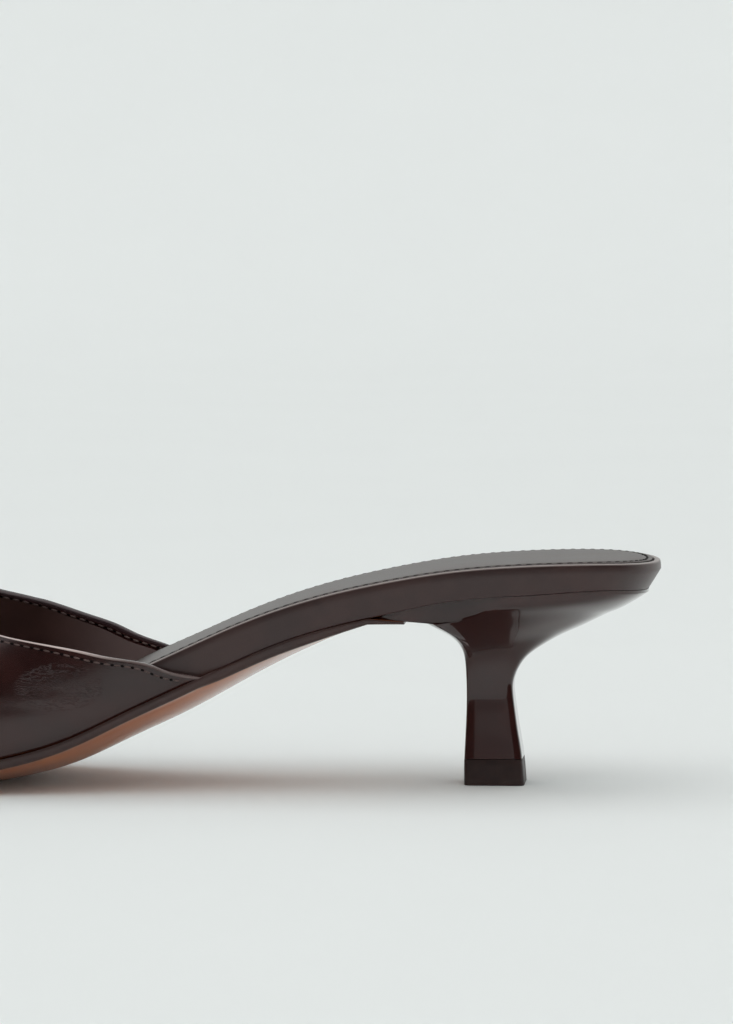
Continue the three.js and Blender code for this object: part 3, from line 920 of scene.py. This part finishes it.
# %% Cup of the heel
CUP = [
    # row, front growth, front rise, back growth, back rise, side growth, side rise
    (0, 0, 0, 0, 0, 0, 0),
    (1, 0.022, 0.35, 0.07, 0.164, 0.02, 0.12),
    (2, 0.085, 0.58, 0.2, 0.317, 0.07, 0.22),
    (3, 0.18, 0.72, 0.36, 0.458, 0.18, 0.34),
    (4, 0.29, 0.83, 0.5, 0.556, 0.36, 0.47),
    (5, 0.38, 0.91, 0.66, 0.68, 0.58, 0.615),
    (6, 0.44, 0.96, 0.74, 0.735, 0.78, 0.75),
    (7, 0.66, 1.1, 0.82, 0.79, 0.93, 0.845),
    (8, 0.9, 1.1, 0.93, 0.89, 0.99, 0.91),
    (9, 1.0, 1.1, 1.0, 0.965, 1.0, 0.975),
]
cup_curves = [smooth(CUP, column) for column in range(1, 7)]
side_growth = smooth([(row[6], row[5]) for row in CUP], 1)
LAST_ROW = CUP[-1][0]
CUP_MARGIN = 0.12  # how far the seat's outline lies inside the footbed's underside
LIP_SQUARENESS = 9
CUP_EDGE = 0.4  # the depth of the cup's rim under the seat
EDGE_TO_LIP = (-8, 14)  # where along the shoe that rim turns into the lip


def seat_point(angle):
    ahead = math.cos(angle) > 0
    along, across = rounded_square(angle, REAR_POWER, LIP_SQUARENESS)
    reach = along * (HEEL_LIP - REAR_ROUND if ahead else REAR_ROUND)
    station = station_at(REAR_ROUND - REAR_TO_HEEL + reach)
    side = OUTER if across > 0 else INNER
    edge = inset_point(station, side, draft(station) + CUP_MARGIN).copy()
    if ahead:
        edge.y *= min(1, abs(across))
    return edge


def seat_top(x, y):
    return underside(x, y) - GLUE


def cup_room(x):
    """How far the cup stays under the seat: its rim's edge, and the lip ahead of it."""
    if x >= OUTSOLE_BREAST - REAR_TO_HEEL:
        return lip_thickness(x)
    return mix(CUP_EDGE, lip_thickness(x), soft_step(x, *EDGE_TO_LIP))


def cup_point(row, angle):
    """A point of the cup, from row 0 at the stem to LAST_ROW at its rim. end is 1 at the middle
    of its front or back and 0 at its sides."""
    grow_front, rise_front, grow_back, rise_back, grow_side, rise_side = [
        curve(row) for curve in cup_curves]
    lean = rounded_square(angle, CUP_SQUARENESS)[0]
    root, edge = stem_point(STEM_TOP, angle), seat_point(angle)
    end = soft_step(lean ** 3, 0, 0.8) if lean > 0 else soft_step(-lean, 0.25, 0.95)
    end_grow, end_rise = (grow_front, rise_front) if lean > 0 else (grow_back, rise_back)
    grow, rise = mix(grow_side, end_grow, end), mix(rise_side, end_rise, end)
    x, y = mix(root.x, edge.x, grow), mix(root.y, edge.y, grow)
    level = seat_top(edge.x, edge.y)
    if lean > 0:
        level = mix(level, seat_top(HEEL_LIP - REAR_TO_HEEL, 0), end)
    z = min(mix(STEM_TOP, level, rise), seat_top(x, y) - cup_room(x))
    y = mix(root.y, edge.y, side_growth((z - STEM_TOP) / (level - STEM_TOP)))
    return Vector((x, y, z))


print("cup's rim at the front, the outer side and the back:",
      [[round(c) for c in cup_point(LAST_ROW, angle)] for angle in (0, -math.pi / 2, math.pi)])

# %% [markdown]
# Now the rings are put together as one sheet, stem, cup and rim, with flat caps at both ends. It
# is one piece as on the real heel, so its corners run on from the stem into the cup.

# %% Heel
ROUNDS = 96
STEM_ROWS = 30
CUP_ROWS = 54
RIM_ROWS = [0.1, 0.3, 0.6, 0.9, 1]  # up the rim's edge, from the cup to the seat


def heel_point(row, angle):
    if row <= STEM_ROWS:
        return stem_point(mix(TOP_PIECE_HEIGHT, STEM_TOP, row / STEM_ROWS), angle)
    if row <= STEM_ROWS + CUP_ROWS:
        return cup_point(LAST_ROW * (row - STEM_ROWS) / CUP_ROWS, angle)
    corner = cup_point(LAST_ROW, angle)
    share = RIM_ROWS[row - STEM_ROWS - CUP_ROWS - 1]
    corner.z = mix(corner.z, seat_top(corner.x, corner.y), share)
    return corner


def rings(rows, place):
    """A rolled sheet of closed rings, with flat caps at both ends."""
    mesh = grid(rows, ROUNDS)
    for point in mesh.verts:
        row = round((point.co.x + 1) / 2 * rows)
        point.co = place(row, math.pi * (point.co.y + 1))
    bmesh.ops.remove_doubles(mesh, verts=mesh.verts, dist=1e-3)
    bmesh.ops.holes_fill(mesh, edges=border(mesh), sides=0)
    return mesh


heel_mesh = rings(STEM_ROWS + CUP_ROWS + len(RIM_ROWS), heel_point)
print("heel:", len(heel_mesh.faces), "faces")

# %% [markdown]
# The top piece, which a shoemaker calls so because the shoe is made upside down, is the hard
# rubber that the heel stands on. It follows the stem's outline, so it is more rings of the same
# stem, with small rounds at both ends. The upper one leaves the fine dark joint under the heel.

# %% Top piece
TIP_ROWS = [
    # height, inset
    (0, 0.25), (0.04, 0.08), (0.15, 0), (2, 0), (4, 0), (6.05, 0), (6.12, 0.03), (6.16, 0.3),
]


def tip_point(row, angle):
    z, inset = TIP_ROWS[row]
    return stem_point(z, angle, inset)


tip_mesh = rings(len(TIP_ROWS) - 1, tip_point)
print("joint over the top piece:", round(TOP_PIECE_HEIGHT - TIP_ROWS[-1][0], 2), "mm")

# %% [markdown]
# Stitches are small pads of thread, one object for each kind of row, with a dark pad at the end of
# each, painted shade standing for the needle's hole. They could be a bump in the leather's finish,
# but up close a thread stands proud and casts its own light edge. A stitch is a low-faced ball drawn
# out along the row, because there are hundreds of them. `walk` measures a path in millimetres and
# stops at even steps along it.

# %% Stitches
STITCH_PITCH = 2.4


def walk(path, start, end, pitch, steps=900):
    """Places on path(t) one pitch apart, each with the direction there."""
    places = []
    before = path(start)
    gone = pitch / 2
    for n in range(1, steps + 1):
        here = path(mix(start, end, n / steps))
        step = (here - before).length
        while step > 0 and gone <= step:
            places.append((before.lerp(here, gone / step), (here - before).normalized()))
            gone += pitch
        gone -= step
        before = here
    return places


def ball_of(segments, rings):
    """A ball of radius 1 with its poles along the first axis, to copy many times."""
    mesh = bmesh.new()
    bmesh.ops.create_uvsphere(mesh, u_segments=segments, v_segments=rings, radius=1,
                              matrix=Matrix.Rotation(math.pi / 2, 4, "Y"))
    return mesh_data(mesh, "ball")


def add_pad(mesh, ball, place, along, up, size):
    """Adds a copy of the ball, pressed to size (along, across, up) and turned into place."""
    across = up.cross(along).normalized()
    turn = Matrix((along, across, along.cross(across))).transposed().to_4x4()
    press = Matrix.Diagonal((*(length / 2 for length in size), 1))
    copy = ball.copy()
    copy.transform(Matrix.Translation(place) @ turn @ press)
    mesh.from_mesh(copy)
    bpy.data.meshes.remove(copy)


STITCH = (1.6, 0.45, 0.36)  # length, width, height
SOCK_THREAD = (1.7, 0.6, 0.5)
SOCK_THREAD_SINK = 0.2  # how far its middle lies under the sock's swell
# The dark pad at each stitch's end is painted shade standing for the needle's hole.
HOLE = (0.8, 0.6, 0.16)
stitch_ball = ball_of(6, 5)
hole_ball = ball_of(6, 4)
stitch_mesh = bmesh.new()
sock_stitch_mesh = bmesh.new()
hole_mesh = bmesh.new()


def sew(mesh, size, place, along, up):
    """One stitch, and a dark pad at its end, painted shade for the needle's hole."""
    add_pad(mesh, stitch_ball, place, along, up, size)
    add_pad(hole_mesh, hole_ball, place + along * STITCH_PITCH / 2, along, up, HOLE)


def sock_path(station_side):
    """0 to 1 along the outer side from the toe to the back, 1 to 2 along the inner side."""
    side = OUTER if station_side <= 1 else INNER
    share = 1 - station_side if station_side <= 1 else station_side - 1
    station = (1 - math.cos(math.pi * share)) / 2
    flat = inset_point(round(station, 6), side, SOCK_STITCH)
    return Vector((flat.x, flat.y, sock_height(flat.x, flat.y) - SOCK_THREAD_SINK))


sock_stitches = walk(sock_path, 0, 2, STITCH_PITCH, 2400)
for place, along in sock_stitches:
    sew(sock_stitch_mesh, SOCK_THREAD, place, along, Vector((0, 0, 1)))


print(len(sock_stitches), "stitches round the sock")

# %% [markdown]
# The vamp has a row along its topline and one along the open toe's edge, and each shows on the
# face and on the lining, where the needle came through. The rows follow the wall of the last, a
# little over its surface, and each stitch is turned to lie flat on it.

# %% Stitches of the vamp
TOPLINE_EDGE, TOE_EDGE = 0, 1  # as wall_ends gives them
VAMP_ROWS = [
    # edge, distance from it, place through the wall from 0 inside to 1 outside
    (TOPLINE_EDGE, 1.8, 1.02),
    (TOPLINE_EDGE, 1.3, -0.02),
    (TOE_EDGE, 1.8, 1.02),
    (TOE_EDGE, 1.8, -0.02),
]


def wall_row(edge, distance, through):
    """A path round the vamp, inside one of its edges."""
    inwards = distance / LENGTH * (1 if edge == TOPLINE_EDGE else -1)

    def path(turn):
        turn = round(turn, 4)
        return wall_point(wall_ends(turn)[edge] + inwards, turn, through * UPPER_WALL)
    return path


for edge, distance, through in VAMP_ROWS:
    middle = wall_row(edge, distance, 0.5)
    outwards = 1 if through > 0.5 else -1
    places = walk(wall_row(edge, distance, through), 1, 179, STITCH_PITCH)
    for place, along in places:
        nearest = min(range(0, 181, 2), key=lambda turn: (middle(turn) - place).length)
        up = wall_normal(wall_ends(nearest)[edge], nearest) * outwards
        sew(stitch_mesh, STITCH, place, along, up)
    print(len(places), "stitches along a row of the vamp")

# %% [markdown]
# All the leathers share one recipe: pores and pebbling as a bump, a fine noise in the gloss, and
# slow patches in the colour. A photograph of leather would be quicker, but it would tile, and it
# would bring its own light. The patterns are three-dimensional and read Object coordinates, so
# they need no unwrapping. A polished leather's clear top layer is the shader's coat.

# %% Leather
def leather(name, dark, light, rough, grain, gloss=0.5, **fixed):
    """Smooth calf leather: fine pores and pebbling, and soft changes of colour."""
    return leather_parts(name, dark, light, rough, grain, gloss, **fixed)[0].material


def leather_parts(name, dark, light, rough, grain, gloss, **fixed):
    """The finish, its colour and its relief, before they are linked to the shader."""
    finish = Finish(name, specular_ior_level=gloss, **fixed)
    pores = finish.cells(2.6).ease(0.05, 0.55)
    pebble = finish.cells(1.5, "SMOOTH_F1").ease(0.1, 0.6)
    fine = finish.noise(7, 4, 0.6)
    patches = finish.noise(0.09, 3, 0.55)
    colour = finish.blend(patches.ease(0.35, 0.65), dark, light)
    pore_colour = (*(channel * 0.6 for channel in dark[:3]), 1)
    colour = finish.blend((1 - pores) * 0.25, colour, pore_colour)
    relief = finish.bump(pores * 0.5 + pebble * 0.3 + fine * 0.3, grain)
    finish.wear(base_color=colour, roughness=fine * 0.12 + patches * 0.08 + (rough - 0.1),
                normal=relief)
    return finish, colour, relief


tan_leather = leather("tan_leather", shade(170, 94, 48), shade(182, 106, 55), 0.3, 0.006, 0.35,
                      coat_weight=0.6, coat_roughness=0.12)
edge_paint = leather("edge_paint", shade(46, 25, 22), shade(54, 30, 26), 0.35, 0.012, 0.4,
                     coat_weight=0.3, coat_roughness=0.25)
sock_leather = leather("sock_leather", shade(60, 45, 41), shade(70, 54, 50), 0.45, 0.03, 0.5,
                       coat_weight=0.15, coat_roughness=0.3)
thread = leather("thread", shade(72, 54, 51), shade(96, 77, 73), 0.45, 0.02, 0.5)
# Near-black thread for the sock's row; the sock's cut edge wears it too, as painted shade of the
# gap.
dark_thread_and_gap_shade = leather("dark_thread_and_gap_shade", shade(16, 9, 8), shade(24, 14, 12), 0.6, 0.02, 0.15)
# Painted shade: near-black pads stand for the needle holes.
hole_shade = leather("needle_hole", shade(9, 4, 4), shade(12, 6, 6), 0.7, 0.02, 0.1)
print("plain finishes:", [finish.name for finish in (
    tan_leather, edge_paint, sock_leather, thread, dark_thread_and_gap_shade, hole_shade)])

# %% [markdown]
# Three leathers carry painted light. The vamp has fine wrinkles where the ball of the foot bends it,
# a painted highlight along the near side's folded edge, fading towards the wings, and a dim painted
# reflection on the far side's folded edge. The footbed's cover has a painted highlight along its top
# edge, and the lining is painted paler towards the wings as painted reflection. Where a strip
# follows the piece's own edge, it reads the layer that the mesh's points carry, which a picture
# could only match with an unwrapping.

# %% Creased leather and painted light
WRINKLES_X, WRINKLES_LENGTH = 99.5, 11  # where along the shoe, and how far each way
WRINKLES_Z, WRINKLES_HEIGHT = 25.5, 6  # how high, and how far up and down


def vamp():
    """The vamp: creased by the foot's bend, a painted highlight on its near edge, painted reflection
    on the far.
    """
    finish, colour, relief = leather_parts(
        "vamp_leather", shade(38, 15, 13), shade(48, 20, 17), 0.24, 0.012, 0.55,
        coat_roughness=0.1)
    x, y, z = [finish.along(axis) for axis in "XYZ"]
    near = y.ease(-5, 12)
    trim = finish.layer("trim")
    # Painted reflection: the far side's folded edge is painted a dim purplish grey.
    folded = 1 - trim.ease(0.3, 1.0)
    # Painted highlight: the near side's folded edge is painted pale, fading towards the wings.
    painted_light = (1 - trim.ease(0, 0.4)) * near * (x.ease(82, 100) * 0.75 + 0.15)
    far = (((x - WRINKLES_X) * (1 / WRINKLES_LENGTH)) ** 2
           + ((z - WRINKLES_Z) * (1 / WRINKLES_HEIGHT)) ** 2)
    creased = (1 - far.ease(0.2, 1)) * y.ease(0, 5)
    lines = finish.noise(1, 3, 0.6, (0.4, 0.4, 1.6)) - 0.5
    lines = lines.math("ABSOLUTE").ease(0, 0.05)
    lines = (lines - 0.7) * creased + 0.7
    # The painted highlight on the near edge, then the painted reflection on the far edge.
    colour = finish.blend(painted_light, colour, shade(196, 178, 174))
    colour = finish.blend(folded * (1 - near) * 0.6, colour, shade(62, 48, 52))
    return finish.wear(base_color=colour, coat_weight=near * 0.15,
                       normal=finish.bump(lines, 0.12, 1, relief))


def cover():
    """The footbed's cover, with a painted highlight along its top edge."""
    finish, colour, relief = leather_parts(
        "cover_leather", shade(48, 27, 25), shade(56, 33, 30), 0.42, 0.014, 0.42,
        coat_weight=0.3, coat_roughness=0.3)
    rim = finish.layer("rim")
    # Painted highlight: the cover's top edge is painted pale.
    return finish.wear(base_color=finish.blend(rim * 0.8, colour, shade(146, 134, 130)))


def lining():
    """The lining: smoother than the vamp, and painted paler towards the wings as painted reflection.
    """
    finish, colour, relief = leather_parts(
        "lining_leather", shade(64, 42, 38), shade(72, 48, 44), 0.36, 0.012, 0.4,
        coat_weight=0.6, coat_roughness=0.2)
    # Painted reflection: the lining is painted paler towards the wings.
    lining_painted_reflection = 1 - finish.along("X").ease(86, 114)
    return finish.wear(base_color=finish.blend(lining_painted_reflection, colour, shade(108, 90, 88)))


vamp_leather = vamp()
lining_leather = lining()
cover_leather = cover()
print("worn finishes:", vamp_leather.name, lining_leather.name, cover_leather.name)

# %% [markdown]
# The heel is lacquered over its moulding: a clear coat that mirrors the studio sharply, on a dark
# colour with hardly any gloss of its own. A slow ripple keeps the mirror from looking machined.
# The top piece is plain rubber, dull and a little gritty.

# %% Lacquer and rubber
def lacquer():
    finish = Finish("heel_lacquer", coat_weight=0.9, coat_roughness=0.04, specular_ior_level=0.18)
    patches = finish.noise(0.12, 2).ease(0.35, 0.65)
    return finish.wear(base_color=finish.blend(patches, shade(43, 18, 16), shade(49, 22, 19)),
                       roughness=finish.noise(1.5, 3) * 0.06 + 0.14,
                       normal=finish.bump(finish.noise(0.35, 2), 0.02))


def tip_rubber():
    finish = Finish("tip_rubber", specular_ior_level=0.4)
    grit = finish.noise(5, 4, 0.7)
    patches = finish.noise(0.4, 3).ease(0.3, 0.7)
    return finish.wear(base_color=finish.blend(patches, shade(38, 20, 18), shade(46, 26, 23)),
                       roughness=grit * 0.2 + 0.35, normal=finish.bump(grit, 0.03))


heel_lacquer, heel_rubber = lacquer(), tip_rubber()
print("heel's finishes:", heel_lacquer.name, heel_rubber.name)

# %% [markdown]
# Each mesh now becomes a piece of the shoe, in metres, and takes the place of its plain solid. The
# vamp alone is subdivided once more, because its gloss is the sharpest and shows every facet.

# %% Pieces
footbed = finish_piece(footbed_mesh, "footbed_cover", [cover_leather])
sock = finish_piece(sock_mesh, "padded_sock", [sock_leather, dark_thread_and_gap_shade])
outsole = finish_piece(outsole_mesh, "leather_outsole", [tan_leather, edge_paint])
upper = finish_piece(upper_mesh, "vamp", [vamp_leather, lining_leather], 1)
heel = finish_piece(heel_mesh, "lacquered_heel", [heel_lacquer])
tip = finish_piece(tip_mesh, "heel_tip", [heel_rubber])
stitches = finish_piece(stitch_mesh, "stitches", [thread])
sock_row = finish_piece(sock_stitch_mesh, "sock_stitches", [dark_thread_and_gap_shade])
holes = finish_piece(hole_mesh, "needle_holes", [hole_shade])

REPLACED = [
    (footbed, "footbed", "cover_leather"),
    (sock, "sock", "sock_leather"),
    (outsole, "outsole", "sole_leather"),
    (upper, "upper", "vamp_leather"),
    (heel, "heel", "heel_finish"),
    (tip, "top_piece", "tip_rubber"),
]
for piece, node, slot in REPLACED:
    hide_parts(node)
print(len(REPLACED), "solids replaced")

# %% [markdown]
# The studio is a white table under one very large softbox. The pale sweep curves up all round,
# so no edge of it shows from any side, but the half behind the camera is left out of glossy
# reflections: the real studio was dark there, and that darkness is what gives the vamp and the
# heel their deep oxblood areas next to the haze that the white table lays over the rest. A plain
# world colour would light the shoe as brightly, but it would have no dark side to mirror.

# %% Sweep
TABLE_RADIUS = 1.95
BEND_RADIUS = 1.2
WALL_HEIGHT = 4.4
TABLE_MIDDLE = 0.05  # metres towards the toe, under the middle of the shoe
SWEEP_ROWS = 48
SWEEP_COLUMNS = 72
GLOW_GROWS = (600, 2550)  # millimetres from the shoe over which the paper's own light grows


def sweep_place(share, angle):
    """share runs from the middle of the table, 0, out to its edge, 1, up the bend to 2, and up
    the wall to 3."""
    if share <= 1:
        out, up = share * TABLE_RADIUS, 0
    elif share <= 2:
        bend = (share - 1) * math.pi / 2
        out = TABLE_RADIUS + BEND_RADIUS * math.sin(bend)
        up = BEND_RADIUS * (1 - math.cos(bend))
    else:
        out = TABLE_RADIUS + BEND_RADIUS
        up = BEND_RADIUS + (share - 2) * (WALL_HEIGHT - BEND_RADIUS)
    return Vector((TABLE_MIDDLE + out * math.cos(angle), out * math.sin(angle), up))


def stage_part(mesh, name, finish):
    part = place_object(name, mesh_data(mesh, name, [finish]))
    part.data.shade_smooth()
    return part


def sweep_part(name, finish, start, share_from, share_to):
    """Half a turn of the sweep, from the angle start on."""
    mesh = grid(SWEEP_ROWS, SWEEP_COLUMNS)
    for point in mesh.verts:
        share = mix(share_from, share_to, (point.co.x + 1) / 2)
        point.co = sweep_place(share, start + math.pi * (point.co.y + 1) / 2)
    bmesh.ops.remove_doubles(mesh, verts=mesh.verts, dist=1e-5)
    bmesh.ops.recalc_face_normals(mesh, faces=mesh.faces)
    return stage_part(mesh, name, finish)


def grey(value):
    return (value, value, value, 1)


def paper(name, glow=0):
    """White paper. glow is how much light the far part gives of its own, which evens it out."""
    finish = Finish(name)
    clouds = finish.noise(0.01, 2)
    links = {
        "base_color": finish.blend(clouds, shade(230, 233, 232), shade(232, 235, 234)),
        "roughness": finish.noise(0.05, 2) * 0.1 + 0.8,
    }
    if glow:
        finish.material.cycles.emission_sampling = "NONE"
        finish.shader.inputs["Emission Strength"].default_value = 1
        inputs = {0: finish.place}
        far = finish.add("ShaderNodeVectorMath", inputs, "Value", operation="LENGTH")
        links["emission_color"] = finish.blend(far.ease(*GLOW_GROWS), grey(0), grey(glow))
    return finish.wear(**links)


sweep_part("studio_table", paper("studio_paper"), 0, 0, 1)
sweep_part("studio_back", paper("studio_backdrop", 0.1), math.pi, 0, 3)
front = sweep_part("studio_front", paper("studio_fill", 0.25), 0, 1, 3)
front.visible_glossy = False
print("the sweep is", 2 * (TABLE_RADIUS + BEND_RADIUS), "m across")

# %% [markdown]
# The side of the heel mirrors what stands behind the camera. There the photo shows a dark field
# with soft paler streaks, so a dim card stands there that only glossy surfaces can see. It could
# be painted on the heel, but then it would stay put when the heel is seen from another side.

# %% Dim card
CARD_MIDDLE = (0.068, 2.9, 0.26)
CARD_HALF_WIDTH = 0.145
CARD_HALF_HEIGHT = 0.29

card_mesh = grid(4, 4)
for point in card_mesh.verts:
    reach = Vector((CARD_HALF_WIDTH * point.co.x, 0, CARD_HALF_HEIGHT * point.co.y))
    point.co = Vector(CARD_MIDDLE) + reach

card_finish = Finish("dim_card", emission_strength=1)
card_finish.material.cycles.emission_sampling = "NONE"
streaks = card_finish.noise(0.007, 3, 0.6, (1, 1, 0.3)).ease(0.35, 0.6)
card_finish.wear(
    base_color=card_finish.blend(streaks, grey(0), grey(0.02)),
    emission_color=card_finish.blend(streaks, grey(0.25), (0.48, 0.47, 0.46, 1)))
card = stage_part(card_mesh, "studio_card", card_finish.material)
card.visible_camera = card.visible_diffuse = card.visible_shadow = False
print("card:", 2 * CARD_HALF_WIDTH, "m by", 2 * CARD_HALF_HEIGHT, "m")

# %% [markdown]
# One softbox over the table gives the light, large enough for the soft shadow under the waist. The
# air is almost dark, so that the sweep and not the world decides what the gloss shows. The
# Standard view keeps the white of the table as the photo has it.

# %% Light
LIGHT_PLACE = (0.05, -0.03, 2.3)  # it shines straight down
LIGHT_SIZE = (4.6, 4.25)
LIGHT_POWER = 61.8
AIR = 0.02

lamp = place_object("top_softbox", bpy.data.lights.new("top_softbox", "AREA"))
lamp.data.shape = "RECTANGLE"
lamp.data.size, lamp.data.size_y = LIGHT_SIZE
lamp.data.energy = LIGHT_POWER
lamp.location = LIGHT_PLACE
lamp.visible_camera = False

world = bpy.data.worlds.new("studio_air")
bpy.context.scene.world = world
world.use_nodes = True
air = world.node_tree.nodes["Background"].inputs
air["Color"].default_value = grey(1)
air["Strength"].default_value = AIR
bpy.context.scene.view_settings.view_transform = "Standard"
print("softbox:", LIGHT_SIZE, "m,", LIGHT_POWER, "W")
